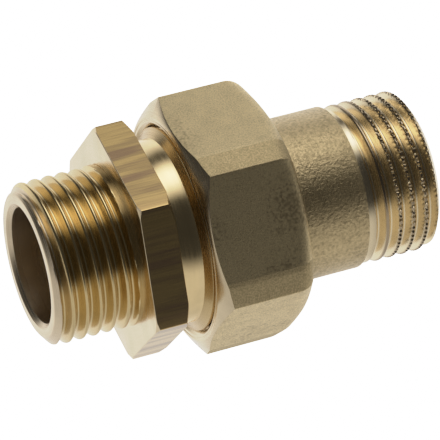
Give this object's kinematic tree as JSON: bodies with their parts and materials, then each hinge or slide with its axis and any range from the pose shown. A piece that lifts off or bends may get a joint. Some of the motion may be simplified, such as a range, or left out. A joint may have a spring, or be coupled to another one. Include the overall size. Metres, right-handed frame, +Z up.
{
  "type": "pipe union",
  "caption": "Straight brass pipe union with male pipe threads at both ends: a hexagonal nut draws the two halves together onto a rubber seal.",
  "frame": {"origin": "on the pipe axis, midway between the two open ends", "axes": "+X along the pipe axis, from the threaded body to the tailpiece; +Z up, through a flat of the union nut"},
  "size_m": [0.0524, 0.034, 0.03],
  "materials": {
    "turned_brass": "turned and drawn, bright",
    "blasted_brass": "fine blasted, satin",
    "cast_brass": "coarse blasted barrel, turned thread",
    "seal_rubber": "matt"
  },
  "bodies": {
    "body": {"threaded_body": "turned_brass"},
    "seal": {"seal_ring": "seal_rubber"},
    "nut": {"union_nut": "blasted_brass"},
    "tail": {"tailpiece": "cast_brass"}
  },
  "joints": [
    {"name": "union_draw", "type": "slide", "parent": "body", "child": "seal", "axis": [1, 0, 0], "range_m": [0, 0.00726]},
    {"name": "nut_turn", "type": "hinge", "parent": "seal", "child": "nut", "pos_m": [0, 0, 0], "axis": [1, 0, 0], "range_deg": [0, 1440]},
    {"name": "tail_swivel", "type": "hinge", "parent": "seal", "child": "tail", "pos_m": [0, 0, 0], "axis": [1, 0, 0], "continuous": true}
  ],
  "couplings": [
    {"joint": "union_draw", "follows": "nut_turn", "m_per_rad": 0.00028875}
  ]
}
